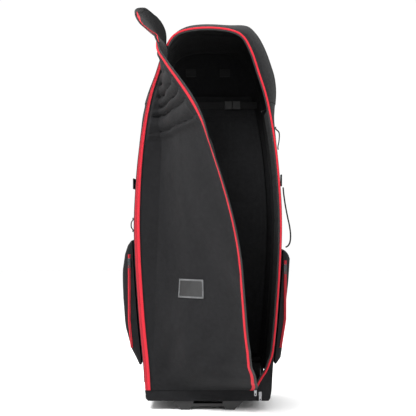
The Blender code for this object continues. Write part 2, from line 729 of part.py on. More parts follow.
def back_handle():
    """Webbing grab handle hanging on the back, near the top, with its two sewn anchors."""
    path = [(-HANDLE_HALF, HANDLE_Y - 0.002, HANDLE_Z - 0.003), (-HANDLE_HALF, HANDLE_Y, HANDLE_Z - 0.030),
            (-HANDLE_HALF + 0.012, HANDLE_Y + 0.003, HANDLE_Z - HANDLE_DROP + 0.008),
            (-HANDLE_HALF + 0.030, HANDLE_Y + 0.004, HANDLE_Z - HANDLE_DROP)]
    path += [(-x, y, z) for x, y, z in path[::-1]]
    rings = []
    line = smooth(path, 2)
    for i, here in enumerate(line):
        before, after = Vector(line[max(i - 1, 0)]), Vector(line[min(i + 1, len(line) - 1)])
        out = Vector((0, 1, 0)) * 0.0025
        side = (after - before).cross(out).normalized() * 0.0125
        here = Vector(here)
        rings.append([here - side - out, here + side - out, here + side + out, here - side + out])
    obj = loft("back_handle", rings, WEBBING)
    pivot = Vector((0, HANDLE_Y - 0.002, HANDLE_Z))
    obj.data.transform(Matrix.Translation(-pivot))
    obj.location = pivot
    for side, word in ((-1, "left"), (1, "right")):
        x = side * HANDLE_HALF
        box(f"back_handle_anchor_{word}", (x - 0.019, BACK - 0.0065, HANDLE_Z + 0.005),
            (x + 0.019, HANDLE_Y + 0.0015, HANDLE_Z + 0.034), WEBBING, 0.001, 1)


INNER_Z = 1.050
BUCKLE_X = (0.060, 0.088, 0.118)  # socket's start, where the halves meet, plug's end
INNER_Y = BACK - 0.0275


def inner_straps():
    """Club strap across the back of the inside, with a side-release buckle on it."""
    y0, y1 = INNER_Y - 0.0009, INNER_Y + 0.0009
    half = 0.0120
    end_x = half_width(INNER_Z) - 0.020
    start, meet, end = BUCKLE_X
    box("inner_strap_left", (-end_x, y0, INNER_Z - half), (start - GAP, y1, INNER_Z + half), WEBBING)
    box("inner_strap_right", (end - 0.0015, y0, INNER_Z - half), (end_x, y1, INNER_Z + half), WEBBING)
    socket = box("buckle_socket", (start, INNER_Y - 0.0048, INNER_Z - 0.0155),
                 (meet, INNER_Y + 0.0048, INNER_Z + 0.0155), PLASTIC, 0.0015, 1)
    cut(socket, box("socket_mouth", (start + 0.008, INNER_Y - 0.0031, INNER_Z - 0.0115),
                    (meet + 0.01, INNER_Y + 0.0031, INNER_Z + 0.0115), PLASTIC))
    plug = box("buckle_plug", (meet + 0.0005, INNER_Y - 0.0048, INNER_Z - 0.0155),
               (end, INNER_Y + 0.0048, INNER_Z + 0.0155), PLASTIC, 0.0015, 1)
    cut(plug, box("plug_prongs", (start + 0.012, INNER_Y - 0.0026, INNER_Z - 0.0110),
                  (meet + 0.004, INNER_Y + 0.0026, INNER_Z + 0.0110), PLASTIC), "UNION")
    cut(plug, box("plug_slot", (meet + 0.0065, INNER_Y - 0.0015, INNER_Z - half - 0.0008),
                  (end + 0.01, INNER_Y + 0.0015, INNER_Z + half + 0.0008), PLASTIC))


walls()
back_panel()
lining()
base()
wheels()
foot()
front_sill()
zips()
place_lid()
main_sliders()
pocket("left", -1, LEFT_POCKET, lambda z: 0.2665 - 0.09 * max(0.0, 0.30 - z), 0.205, 0.520)
pocket("right", 1, RIGHT_POCKET, lambda z: 0.2610 - 0.16 * max(0.0, 0.30 - z), 0.205, 0.500)
straps()
back_handle()
inner_straps()
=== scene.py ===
"""Soft golf travel case, standing with its lid peeled open: fabric, zips and webbing over the frame.

Metres, +Z up, front towards -Y.
"""
import math

import bmesh
import bpy
from mathutils import Matrix, Vector, noise


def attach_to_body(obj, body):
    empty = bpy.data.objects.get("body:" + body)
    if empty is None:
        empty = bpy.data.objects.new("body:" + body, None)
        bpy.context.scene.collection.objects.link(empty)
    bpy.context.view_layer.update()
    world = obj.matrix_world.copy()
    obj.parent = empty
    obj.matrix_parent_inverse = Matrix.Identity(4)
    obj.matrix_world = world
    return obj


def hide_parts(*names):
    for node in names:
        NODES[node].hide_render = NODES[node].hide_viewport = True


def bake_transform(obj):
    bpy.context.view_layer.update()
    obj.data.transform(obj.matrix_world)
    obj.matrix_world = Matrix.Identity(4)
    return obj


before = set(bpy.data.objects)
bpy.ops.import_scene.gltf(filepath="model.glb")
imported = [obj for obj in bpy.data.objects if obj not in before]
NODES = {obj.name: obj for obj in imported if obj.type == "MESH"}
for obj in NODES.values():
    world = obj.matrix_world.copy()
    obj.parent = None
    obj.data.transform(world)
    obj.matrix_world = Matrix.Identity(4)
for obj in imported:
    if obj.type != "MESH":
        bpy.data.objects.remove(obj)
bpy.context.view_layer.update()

# ---------------------------------------------------------------- sizes shared with the frame
FRONT, DEPTH = 0.0095, 0.360
BACK = FRONT + DEPTH
HOOD_START, HOOD_DROP = 1.030, 0.030
WALL_OUT = 0.002
LID_BACK, LID_THICK = FRONT - 0.0035, 0.003
MID_Y = LID_BACK - LID_THICK / 2
LID_BOTTOM = 0.0675
CREASE_LOW, CREASE_TOP = (-0.188, 0.067), (-0.143, 1.213)
TOP_LEAN = math.radians(8)
LEFT_ZIP_WIDE = 0.013
HALF_OUTLINE = [
    (0.199, 0.030), (0.209, 0.062), (0.2145, 0.147), (0.230, 0.308), (0.2435, 0.520), (0.2445, 0.680),
    (0.2295, 0.871), (0.202, 1.032), (0.1715, 1.133), (0.146, 1.207),
    (0.117, 1.255), (0.072, 1.276), (0.000, 1.283),
]
ZIP_CORNER = [(0.160, 0.067), (0.169, 0.085), (0.183, 0.109), (0.199, 0.135), (0.2155, 0.180)]

# ---------------------------------------------------------------- camera
CAMERA_BACK, CAMERA_Z, VIEW_WIDE = 4.0, 0.677, 1.394
camera = bpy.data.objects.new("camera", bpy.data.cameras.new("camera"))
bpy.context.scene.collection.objects.link(camera)
camera.location = (0, FRONT - CAMERA_BACK, CAMERA_Z)
camera.rotation_euler = (math.pi / 2, 0, 0)
camera.data.sensor_width = 36
camera.data.lens = 36 * CAMERA_BACK / VIEW_WIDE
bpy.context.scene.camera = camera


# ---------------------------------------------------------------- materials

class Nodes:
    """Builds a material's nodes, starting from object coordinates."""

    def __init__(self, name):
        self.made = bpy.data.materials.new(name)
        self.made.use_nodes = True
        self.tree = self.made.node_tree
        self.shader = self.tree.nodes["Principled BSDF"]
        self.coords = self.add("ShaderNodeTexCoord").outputs["Object"]

    def add(self, kind, **settings):
        node = self.tree.nodes.new(kind)
        for key, value in settings.items():
            setattr(node, key, value)
        return node

    def link(self, out, into):
        self.tree.links.new(out, into)

    def noise(self, scale, detail=3.0, rough=0.5, stretch=None):
        node = self.add("ShaderNodeTexNoise")
        node.inputs["Scale"].default_value = scale
        node.inputs["Detail"].default_value = detail
        node.inputs["Roughness"].default_value = rough
        source = self.coords
        if stretch:
            mapping = self.add("ShaderNodeMapping")
            mapping.inputs["Scale"].default_value = stretch
            self.link(source, mapping.inputs["Vector"])
            source = mapping.outputs["Vector"]
        self.link(source, node.inputs["Vector"])
        return node.outputs["Fac"]

    def wave(self, axis, scale, distort=0.0):
        node = self.add("ShaderNodeTexWave", bands_direction=axis)
        node.inputs["Scale"].default_value = scale
        node.inputs["Distortion"].default_value = distort
        self.link(self.coords, node.inputs["Vector"])
        return node.outputs["Fac"]

    def maths(self, operation, first, second):
        node = self.add("ShaderNodeMath", operation=operation)
        for socket, value in zip(node.inputs, (first, second)):
            if isinstance(value, (int, float)):
                socket.default_value = value
            else:
                self.link(value, socket)
        return node.outputs["Value"]

    def ramp(self, factor, dark, light, low=0.3, high=0.7):
        node = self.add("ShaderNodeValToRGB")
        node.color_ramp.elements[0].position = low
        node.color_ramp.elements[0].color = (*dark, 1)
        node.color_ramp.elements[1].position = high
        node.color_ramp.elements[1].color = (*light, 1)
        self.link(factor, node.inputs["Fac"])
        return node.outputs["Color"]

    def colour(self, out):
        self.link(out, self.shader.inputs["Base Color"])

    def roughness(self, factor, low, high):
        node = self.add("ShaderNodeMapRange")
        node.inputs["To Min"].default_value = low
        node.inputs["To Max"].default_value = high
        self.link(factor, node.inputs["Value"])
        self.link(node.outputs["Result"], self.shader.inputs["Roughness"])

    def bump(self, height, distance, strength=1.0):
        node = self.add("ShaderNodeBump")
        node.inputs["Strength"].default_value = strength
        node.inputs["Distance"].default_value = distance
        self.link(height, node.inputs["Height"])
        self.link(node.outputs["Normal"], self.shader.inputs["Normal"])


def woven(name, dark, light, thread=0.0013, depth=0.0004, sheen=0.05, rough=(0.66, 0.90)):
    """Plain-woven cloth: two crossed sets of threads, uneven dye and a soft worn bloom."""
    m = Nodes(name)
    scale = math.tau / thread / 20
    warp, weft = m.wave("X", scale), m.wave("Z", scale)
    side = m.wave("Y", scale)
    weave = m.maths("MAXIMUM", m.maths("MULTIPLY", warp, weft), m.maths("MULTIPLY", side, weft))
    slub = m.noise(420.0, 2.0, 0.6)
    cloudy = m.noise(9.0, 4.0, 0.55)
    heather = m.maths("MULTIPLY", m.noise(95.0, 5.0, 0.8), 0.46)
    mix = m.maths("ADD", m.maths("ADD", heather, m.maths("MULTIPLY", weave, 0.20)),
                  m.maths("ADD", m.maths("MULTIPLY", slub, 0.22), m.maths("MULTIPLY", cloudy, 0.20)))
    m.colour(m.ramp(mix, dark, light, 0.30, 0.78))
    m.roughness(m.noise(60.0), *rough)
    m.bump(m.maths("ADD", weave, m.maths("MULTIPLY", slub, 0.8)), depth)
    m.shader.inputs["Sheen Weight"].default_value = sheen
    m.shader.inputs["Sheen Roughness"].default_value = 0.55
    m.shader.inputs["Specular IOR Level"].default_value = 0.14
    return m.made


def ribbed(name, dark, light, axis="Z", rib=0.0022, depth=0.0005, sheen=0.03):
    """Webbing or zip tape: close ribs across the strip, with thread fuzz."""
    m = Nodes(name)
    ribs = m.wave(axis, math.tau / rib / 20, 0.4)
    fuzz = m.noise(520.0, 2.0)
    m.colour(m.ramp(m.maths("ADD", m.maths("MULTIPLY", ribs, 0.6), m.maths("MULTIPLY", fuzz, 0.4)),
                    dark, light, 0.2, 0.8))
    m.roughness(m.noise(90.0), 0.55, 0.8)
    m.bump(m.maths("ADD", ribs, fuzz), depth)
    m.shader.inputs["Sheen Weight"].default_value = sheen
    m.shader.inputs["Specular IOR Level"].default_value = 0.2
    return m.made


def moulded(name, dark, light, rough, grain=260.0, depth=0.0002):
    """Moulded plastic or rubber: fine pebble grain, scuffed in places."""
    m = Nodes(name)
    pebble = m.noise(grain, 3.0, 0.6)
    scuff = m.noise(26.0, 6.0, 0.7, (1.0, 1.0, 2.5))
    m.colour(m.ramp(scuff, dark, light, 0.45, 0.80))
    m.roughness(m.maths("ADD", m.maths("MULTIPLY", pebble, 0.4), m.maths("MULTIPLY", scuff, 0.6)), *rough)
    m.bump(pebble, depth)
    return m.made


def metal(name, colour, rough):
    """Plated steel with fine brushing and light handling marks."""
    m = Nodes(name)
    brushed = m.noise(180.0, 3.0, 0.6, (1.0, 1.0, 12.0))
    marks = m.noise(700.0, 2.0, 0.6)
    m.colour(m.ramp(marks, [c * 0.72 for c in colour], colour, 0.35, 0.6))
    m.roughness(brushed, *rough)
    m.bump(brushed, 0.00008)
    m.shader.inputs["Metallic"].default_value = 1.0
    return m.made


def clear_film(name):
    m = Nodes(name)
    smear = m.noise(38.0, 4.0, 0.6)
    m.colour(m.ramp(smear, (0.0035, 0.0035, 0.0038), (0.0110, 0.0112, 0.0118)))
    m.roughness(smear, 0.32, 0.52)
    m.bump(m.noise(22.0, 2.0), 0.0006, 0.5)
    m.shader.inputs["Coat Weight"].default_value = 0.12
    return m.made


CLOTH = woven("black_polyester", (0.0014, 0.0014, 0.0017), (0.0130, 0.0130, 0.0144), sheen=0.02)
INSIDE = woven("black_inner_cloth", (0.0028, 0.0028, 0.0031), (0.0120, 0.0120, 0.0128), 0.0011, 0.0003, 0.03)
PAD = woven("grey_pad_cloth", (0.0060, 0.0061, 0.0068), (0.0230, 0.0233, 0.0250), 0.0015, 0.0005, 0.04)
RED = ribbed("red_tape", (0.33, 0.006, 0.014), (0.60, 0.017, 0.034))
# The same red tape again, darkened with painted shade, for the shadowed body side of the shut zip and its
# coil.
RED_SHADED = ribbed("red_tape_painted_shade", (0.21, 0.006, 0.012), (0.40, 0.018, 0.030))
TEETH = ribbed("zip_coil", (0.006, 0.006, 0.006), (0.030, 0.030, 0.031), "Z", 0.0030, 0.0008)
WEB = ribbed("black_web", (0.0040, 0.0040, 0.0042), (0.0200, 0.0200, 0.0210), "Z", 0.0030, 0.0007)
HARD = moulded("black_moulding", (0.0030, 0.0030, 0.0032), (0.0110, 0.0110, 0.0115), (0.45, 0.68))
TYRE = moulded("tyre_rubber", (0.014, 0.014, 0.0145), (0.050, 0.049, 0.047), (0.60, 0.85), 320.0, 0.0003)
STEEL = metal("plated_steel", (0.30, 0.30, 0.31), (0.26, 0.48))
DARK_STEEL = metal("black_nickel", (0.075, 0.075, 0.080), (0.30, 0.52))
FILM = clear_film("clear_film")
EDGING = moulded("grey_edging", (0.060, 0.062, 0.064), (0.135, 0.138, 0.141), (0.40, 0.60), 300.0)


# ---------------------------------------------------------------- curve and mesh tools

def smooth(points, steps):
    pts = [Vector(p) for p in points]
    pts = [pts[0] * 2 - pts[1], *pts, pts[-1] * 2 - pts[-2]]
    curve = []
    for a, b, c, d in zip(pts, pts[1:], pts[2:], pts[3:]):
        for k in range(steps):
            t = k / steps
            curve.append(
                0.5 * (2 * b + (c - a) * t + (2 * a - 5 * b + 4 * c - d) * t * t
                       + (3 * b - 3 * c + d - a) * t ** 3)
            )
    return [tuple(p) for p in curve] + [tuple(pts[-2])]


def value_at(pairs, at):
    for (a, low), (b, high) in zip(pairs, pairs[1:]):
        if at <= b:
            return low + (high - low) * max(0.0, at - a) / (b - a)
    return pairs[-1][1]


def ease(low, high, at):
    t = min(1.0, max(0.0, (at - low) / (high - low)))
    return t * t * (3 - 2 * t)


def ridge(at, centre, width):
    """1 at the centre, falling smoothly to 0 a width away."""
    t = abs(at - centre) / width
    return 0.0 if t >= 1 else (1 - t * t) ** 2


OUTLINE = smooth(HALF_OUTLINE + [(-HALF_OUTLINE[-2][0], HALF_OUTLINE[-2][1])], 8)
OUTLINE = OUTLINE[: (len(HALF_OUTLINE) - 1) * 8 + 1]
WIDTH_BY_HEIGHT = [(z, x) for x, z in OUTLINE]
CORNER = smooth(ZIP_CORNER, 6)
CORNER_BY_HEIGHT = [(z, x) for x, z in CORNER]


def half_width(z):
    return value_at(WIDTH_BY_HEIGHT, z)


def zip_x(z):
    """Right-hand edge of the opening at a height, with its turned-in lower corner."""
    return value_at(CORNER_BY_HEIGHT, z) if z < ZIP_CORNER[-1][1] else half_width(z)


def crease_x(z):
    (x0, z0), (x1, z1) = CREASE_LOW, CREASE_TOP
    return x0 + (x1 - x0) * (z - z0) / (z1 - z0)


def inset_line(line, inset):
    """An outline of (x, z) points moved inwards, square to its own direction."""
    moved = []
    for i, here in enumerate(line):
        before, after = line[max(i - 1, 0)], line[min(i + 1, len(line) - 1)]
        along = (Vector(after) - Vector(before)).normalized()
        moved.append((here[0] - along.y * inset, here[1] + along.x * inset))
    return moved


def flat_area(left, right, low, high, steps=400):
    """Area of the flat cut between two edges, each a function of height."""
    deep = (high - low) / steps
    heights = [low + deep * (k + 0.5) for k in range(steps)]
    return sum((right(z) - left(z)) * deep for z in heights)


def made_object(name, verts, faces, look, shade=True):
    mesh = bpy.data.meshes.new(name)
    mesh.from_pydata([tuple(v) for v in verts], [], faces)
    mesh.materials.append(look)
    if shade:
        mesh.shade_smooth()
    mesh.update()
    obj = bpy.data.objects.new(name, mesh)
    bpy.context.scene.collection.objects.link(obj)
    return obj


def grid(name, rows, look, flip=False):
    wide = len(rows[0])
    verts = [p for row in rows for p in row]
    faces = []
    for r in range(len(rows) - 1):
        for c in range(wide - 1):
            a = r * wide + c
            face = (a, a + wide, a + wide + 1, a + 1)
            faces.append(face[::-1] if flip else face)
    return made_object(name, verts, faces, look)


def thicken(obj, thickness, inner=None, offset=-1.0):
    """Gives a sheet its thickness inwards, with another cloth on its inner side if named."""
    if inner:
        obj.data.materials.append(inner)
    step = obj.modifiers.new("thickness", "SOLIDIFY")
    step.thickness = thickness
    step.offset = offset
    step.material_offset = step.material_offset_rim = 1 if inner else 0
    return apply_modifiers(obj)


def apply_modifiers(obj):
    seen = obj.evaluated_get(bpy.context.evaluated_depsgraph_get())
    mesh = bpy.data.meshes.new_from_object(seen)
    mesh.set_sharp_from_angle(angle=math.radians(50))
    obj.modifiers.clear()
    obj.data = mesh
    return obj


def ribbon(name, path, outs, wide, thick, look, crown=0.0):
    """A strip of tape or webbing along a path. outs gives the direction that its face looks in."""
    profile = [(-0.5, 0.0), (-0.5, 0.7), (-0.42, 1.0), (0.0, 1.0 + crown),
               (0.42, 1.0), (0.5, 0.7), (0.5, 0.0)]
    rings = []
    for i, here in enumerate(path):
        before, after = Vector(path[max(i - 1, 0)]), Vector(path[min(i + 1, len(path) - 1)])
        along = (after - before).normalized()
        out = Vector(outs[i] if isinstance(outs, list) else outs)
        out = (out - along * out.dot(along)).normalized()
        across = along.cross(out)
        rings.append([Vector(here) + across * a * wide + out * b * thick for a, b in profile])
    return lofted(name, rings, look)


def lofted(name, rings, look, closed=False):
    count = len(rings[0])
    verts = [p for ring in rings for p in ring]
    faces = []
    last = len(rings) if closed else len(rings) - 1
    for r in range(last):
        for i in range(count):
            j, s = (i + 1) % count, (r + 1) % len(rings)
            faces.append((r * count + i, r * count + j, s * count + j, s * count + i))
    if not closed:
        faces.append(tuple(range(count))[::-1])
        faces.append(tuple((len(rings) - 1) * count + i for i in range(count)))
    obj = made_object(name, verts, faces, look)
    fix = bmesh.new()
    fix.from_mesh(obj.data)
    bmesh.ops.recalc_face_normals(fix, faces=fix.faces)
    fix.to_mesh(obj.data)
    fix.free()
    obj.data.set_sharp_from_angle(angle=math.radians(50))
    return obj


def tube(name, path, radius, look, sides=8):
    rings = []
    for i, here in enumerate(path):
        before, after = Vector(path[max(i - 1, 0)]), Vector(path[min(i + 1, len(path) - 1)])
        along = (after - before).normalized()
        first = along.cross(Vector((0.31, 0.9, 0.17))).normalized()
        second = along.cross(first)
        angles = [math.tau * k / sides for k in range(sides)]
        rings.append([Vector(here) + (first * math.cos(a) + second * math.sin(a)) * radius for a in angles])
    return lofted(name, rings, look)


def joined(name, objs):
    """Several pieces made into one, keeping each one's material."""
    first = objs[0]
    with bpy.context.temp_override(active_object=first, selected_editable_objects=objs):
        bpy.ops.object.join()
    first.name = name
    return first


# ---------------------------------------------------------------- shell of the body

def bulge(share, z):
    height = ease(0.86, 1.14, z)
    round_back = 0.014 * max(0.0, (share - 0.80) / 0.20) ** 2
    return WALL_OUT + (0.007 + 0.019 * height) * math.sin(math.pi * min(share, 0.94)) ** 0.7 - round_back


def shoulder(here, share):
    """The padded right shoulder stands fuller than the left one, away from the front rim."""
    x, z = here
    full = (0.030 if x > 0 else -0.017) * ease(0.96, 1.14, z) * (1 - ease(1.258, 1.283, z))
    return full * math.sin(math.pi * min(1.0, max(0.0, share))) ** 0.5


def wall_point(here, along, share, extra=0.0):
    out = Vector((along.y, -along.x)) * (bulge(share, here[1]) + extra)
    drop = HOOD_DROP * share * share * ease(HOOD_START, HOOD_START + 0.25, here[1])
    return here[0] + out.x, FRONT + DEPTH * share, here[1] + out.y - drop


def wall_grid(line, shares, relief):
    """Rows of a wall from front to back, following an outline, with relief(share, point) added outwards."""
    rows = []
    for share in shares:
        row = []
        for i, here in enumerate(line):
            before, after = line[max(i - 1, 0)], line[min(i + 1, len(line) - 1)]
            along = (Vector(after) - Vector(before)).normalized()
            row.append(wall_point(here, along, share, relief(share, here)))
        rows.append(row)
    return rows


def cloth_folds(share, here, seed=0.0, amount=0.0026):
    """Slack in stiffened cloth: long soft waves, held flat along the seams."""
    x, z = here
    held = math.sin(math.pi * min(1.0, max(0.0, share))) ** 0.6
    long_wave = noise.noise(Vector((share * 2.2 + seed, z * 3.1, seed)))
    short = noise.noise(Vector((share * 6.0, z * 11.0 + share * 5.0, seed + 4.0)))
    return held * (long_wave * amount + short * amount * 0.5)


WALL_LOW, ARCH_LOW = 0.0925, 1.20  # the walls' lower edge, and where the outline turns over the top
WALL_THICK, HOOD_THICK, BACK_THICK, SILL_THICK = 0.0055, 0.0115, 0.0050, 0.0014


def shell():
    """The two side walls and the padded hood over them, each with its node's name."""
    shares = [i / 40 for i in range(41)]
    heights = [WALL_LOW + (HOOD_START - 0.001 - WALL_LOW) * i / 110 for i in range(111)]
    for side, word in ((1, "right"), (-1, "left")):
        line = [(half_width(z), z) for z in heights]
        rows = wall_grid(
            line, shares, lambda share, h: cloth_folds(share, h, 2.0 * side) + shoulder((side, h[1]), share))
        rows = rows if side > 0 else [[(-x, y, z) for x, y, z in row] for row in rows]
        wall = thicken(grid(f"{word}_wall", rows, CLOTH, side < 0), WALL_THICK, INSIDE)
        yield wall, f"{word}_side_panel"

    right = [(half_width(z), z) for z in [HOOD_START + (ARCH_LOW - HOOD_START) * i / 14 for i in range(14)]]
    right += [p for p in OUTLINE if p[1] >= ARCH_LOW]
    line = right + [(-x, z) for x, z in right[-2::-1]]

    def quilted(share, here):
        """Padding held down by sewn lines that run over the top, front to back."""
        seams = 0.0
        for seam in (0.30, 0.62):
            seams -= 0.0045 * ridge(share, seam, 0.030)
        puff = 0.0022 * abs(math.sin(math.pi * share * 3.2)) ** 0.5
        folds = cloth_folds(share, here, 7.0, 0.0020)
        return seams + puff * ease(0.0, 0.10, share) + folds + shoulder(here, share)

    rows = wall_grid(line, [i / 64 for i in range(65)], quilted)
    yield thicken(grid("hood", rows, CLOTH), HOOD_THICK, INSIDE), "padded_hood"


HOUSING_TOP, HOUSING_INNER, HOUSING_OUTER = 0.1292, 0.1130, 0.1895  # the wheel housings' top and sides
REAR_LOW, EAR_LOW, REAR_TOP, REAR_Y = 0.0935, 0.0340, 1.247, BACK - 0.0065
GUSSET_FRONT = 0.262  # how far forward the gusset over each housing reaches


def rear_reach(z):
    """Half the back panel's width at a height, inside the walls and the sloping hood."""
    reach = half_width(z) if z < HOOD_START else half_width(min(1.282, z + HOOD_DROP * ease(1.03, 1.28, z)))
    return max(0.006, reach - 0.0085)


def rear_point(x, z):
    share = min(1.0, abs(x) / rear_reach(z))
    puff = 0.0035 * (1 - share ** 4) * ease(0.13, 0.25, z)
    wave = 0.0022 * noise.noise(Vector((x * 5.0, 3.3, z * 4.0)))
    return x, REAR_Y + puff + wave * (1 - share ** 2), z


def rear_wall():
    """Back of the case: one stiffened panel, with tongues between and beside the wheel housings."""
    patches = [
        ("back_wall", HOUSING_TOP, REAR_TOP, lambda z: (-rear_reach(z), rear_reach(z))),
        ("tongue", REAR_LOW, HOUSING_TOP, lambda z: (-HOUSING_INNER, HOUSING_INNER)),
        ("right_ear", EAR_LOW, HOUSING_TOP, lambda z: (HOUSING_OUTER, rear_reach(z))),
        ("left_ear", EAR_LOW, HOUSING_TOP, lambda z: (-rear_reach(z), -HOUSING_OUTER)),
    ]
    parts = []
    for name, low, high, sides in patches:
        count = max(4, round((high - low) / 0.0115))
        rows = []
        for k in range(count + 1):
            z = low + (high - low) * k / count
            left, right = sides(z)
            rows.append([rear_point(left + (right - left) * i / 40, z) for i in range(41)])
        parts.append(grid(name, rows, CLOTH, True))
    for side in (-1, 1):
        rows = [[(side * (HOUSING_INNER + (HOUSING_OUTER - HOUSING_INNER) * i / 20),
                  GUSSET_FRONT + (REAR_Y - GUSSET_FRONT) * k / 12, HOUSING_TOP) for i in range(21)]
                for k in range(13)]
        parts.append(grid("gusset", rows, CLOTH, side < 0))
    return thicken(joined("back_wall", parts), BACK_THICK, INSIDE)


PAD_THICK = 0.0035
PAD_LOW, PAD_TOP, BACK_PAD_LOW, BACK_PAD_TOP = 0.108, 1.008, 0.148, 1.082


def lining_pads():
    """Grey padded lining of the side walls and the back, sewn in channels."""
    for side, word in ((1, "right"), (-1, "left")):
        rows = []
        for i in range(49):
            share = 0.02 + 0.94 * i / 48
            row = []
            for k in range(101):
                z = PAD_LOW + (PAD_TOP - PAD_LOW) * k / 100
                edge = math.sin(math.pi * i / 48) ** 0.35 * math.sin(math.pi * k / 100) ** 0.25
                channel = ridge((z - PAD_LOW) % 0.150, 0.075, 0.008)
                puff = 0.0050 * edge * (1 - 0.85 * channel)
                sag = 0.0022 * noise.noise(Vector((share * 4.0 + side, z * 7.0, 1.5)))
                x = half_width(z) - 0.0070 - puff - sag * edge
                row.append((side * x, FRONT + 0.004 + (DEPTH - 0.085) * share, z))
            rows.append(row)
        yield thicken(grid(f"{word}_pad", rows, PAD, side > 0), PAD_THICK), f"{word}_lining_pad"
    rows = []
    for k in range(91):
        z = BACK_PAD_LOW + (BACK_PAD_TOP - BACK_PAD_LOW) * k / 90
        wide = half_width(z) - 0.032
        row = []
        for i in range(41):
            x = wide * (2 * i / 40 - 1)
            edge = (1 - (x / wide) ** 6) * math.sin(math.pi * k / 90) ** 0.2
            channel = max(ridge((z - 0.15) % 0.155, 0.0775, 0.008), ridge(abs(x), 0.075, 0.007))
            row.append((x, BACK - 0.0140 - 0.0050 * edge * (1 - 0.8 * channel), z))
        rows.append(row)
    yield thicken(grid("back_pad", rows, PAD), PAD_THICK, offset=1.0), "back_lining_pad"


SILL_LOW, SILL_TOP, CORNER_TOP = 0.031, 0.0668, 0.215


def sill_right(z):
    return half_width(z) + 0.0035


def sill_left(z):
    return -half_width(z) - 0.0020


def corner_left(z):
    return min(max(0.156, zip_x(z) + 0.0002), sill_right(z) - 0.0005)


def front_sill():
    """Fabric strip under the lid, and the corner that the zip leaves on the right."""
    for name, left, low, high, steps in (
        ("sill", sill_left, SILL_LOW, SILL_TOP, 14), ("sill_corner", corner_left, SILL_TOP, CORNER_TOP, 44),
    ):
        rows = []
        for k in range(steps + 1):
            z = low + (high - low) * k / steps
            low_x, high_x = left(z), sill_right(z)
            row = []
            for i in range(61):
                x = low_x + (high_x - low_x) * i / 60
                ripple = 0.0010 * noise.noise(Vector((x * 16.0, 2.0, z * 22.0)))
                row.append((x, FRONT - 0.0022 - abs(ripple), z))
            rows.append(row)
        piece = thicken(grid(name, rows, CLOTH, True), SILL_THICK)
        yield piece, left, low, high


# ---------------------------------------------------------------- lid

# How far the open lid is turned about its crease at a height, in degrees. Its foot is held by the zip.
TURN = [
    (0.067, 0), (0.107, 19), (0.147, 29), (0.188, 36), (0.268, 41), (0.389, 45), (0.549, 49.5),
    (0.710, 55.9), (0.871, 64), (0.951, 69.2), (1.032, 78), (1.112, 89), (1.150, 94), (1.193, 95),
    (1.235, 100), (1.265, 108), (1.284, 120),
]
# The curled top's turn and lean in degrees, by the direction from the crease's top end.
LEAF_TURN = [(-30, 88), (-1, 93), (9, 105), (16, 116), (22, 130), (27, 138), (42, 140), (90, 140)]
LEAF_LEAN = [(-30, 0), (9, 0), (16, 4), (22, 9.5), (27, 14), (42, 15), (90, 15)]
TURN_BY_HEIGHT = [(z, turn) for z, turn, _ in smooth([(*point, 0.0) for point in TURN], 5)]
ROLL_WIDE, EDGE_ROLL = 0.024, 0.85  # the stiff tape turns back to face forwards near the top
CURL_WIDE, CURL_TURN = 0.150, 15.0  # the cloth leaves the strip in a soft curl
BOW_TURN, FULLY_STANDING = 5.0, 40.0  # how far its middle bows, and the turn from which it does
PIVOT = Vector((CREASE_TOP[0], MID_Y, CREASE_TOP[1]))
CREASE = (Vector((CREASE_LOW[0], MID_Y, CREASE_LOW[1])) - PIVOT).normalized()
SECOND = -Vector((math.sin(TOP_LEAN), 0, math.cos(TOP_LEAN)))
FIRST_LOW, FIRST_HIGH, FIRST_TURN = 0.020, 0.300, 48.0
LID_SEAM, LID_TOP = 0.420, 1.279
STRIP_TOP = 1.200
QUILT_SEAMS = (0.928, 0.980, 1.008, 1.042, 1.085)
QUILT_SLOPE, PUFF = 0.085, 0.0170
RED_INSET, EDGE_BAND = 0.0085, 0.0195  # the red tape's two edges, in from the free edge
INNER_RED_LOW, INNER_RED_END = 1.165, 0.050  # where the inner tape starts, and how near the middle it ends
PANEL_THICK = 0.0028


def padding(x, z):
    """Height of the padded bands near the lid's top; their seams rise to the right."""
    level = z - QUILT_SLOPE * (x + 0.19)
    seams = (QUILT_SEAMS[0] - 0.030, *QUILT_SEAMS, QUILT_SEAMS[-1] + 0.060)
    for low, high in zip(seams, seams[1:]):
        if low <= level < high:
            share = (level - low) / (high - low)
            full = PUFF * math.sin(math.pi * share) ** 0.6
            if low == seams[0]:
                return full * 0.6 * ease(0.0, 0.7, share)
            if high == seams[-1]:
                return full * 0.8 * (1 - ease(0.3, 1.0, share))
            return full * (1.0 + 0.22 * noise.noise(Vector((x * 14.0, level * 9.0, 8.0))))
    return 0.0


def slack(x, z, reach):
    """Soft diagonal folds in the lid's cloth, held flat at the zip and the shut side."""
    from_crease = max(0.0, x - crease_x(z))
    held = ease(0.0, 0.06, from_crease) * ease(0.0, 0.05, reach - from_crease)
    held *= ease(LID_BOTTOM, LID_BOTTOM + 0.07, z)
    diagonal = x * 0.75 + z * 0.62
    folds = 0.0105 * math.sin(diagonal * 17.0 + 3.4 * noise.noise(Vector((x * 3.0, 0.0, z * 2.4))))
    small = 0.0055 * noise.noise(Vector((x * 9.0, 4.0, z * 6.0)))
    gather = 0.0040 * math.sin((x * 1.1 - z * 0.9) * 46.0) * (1 - ease(0.12, 0.34, z))
    return held * (folds * (1 - ease(0.86, 0.94, z)) + small + gather)


def leaf_point(x, z, out):
    """The lid's top, which curls over like a cone whose point is the crease's top end."""
    arm = Vector((x - PIVOT.x, -out, z - PIVOT.z))
    bearing = math.degrees(math.atan2(arm.z, max(arm.x, 0.0001)))
    lean = math.radians(value_at(LEAF_LEAN, bearing))
    axis = -Vector((math.sin(lean), 0, math.cos(lean)))
    return Matrix.Rotation(math.radians(value_at(LEAF_TURN, bearing)), 3, axis) @ arm + PIVOT


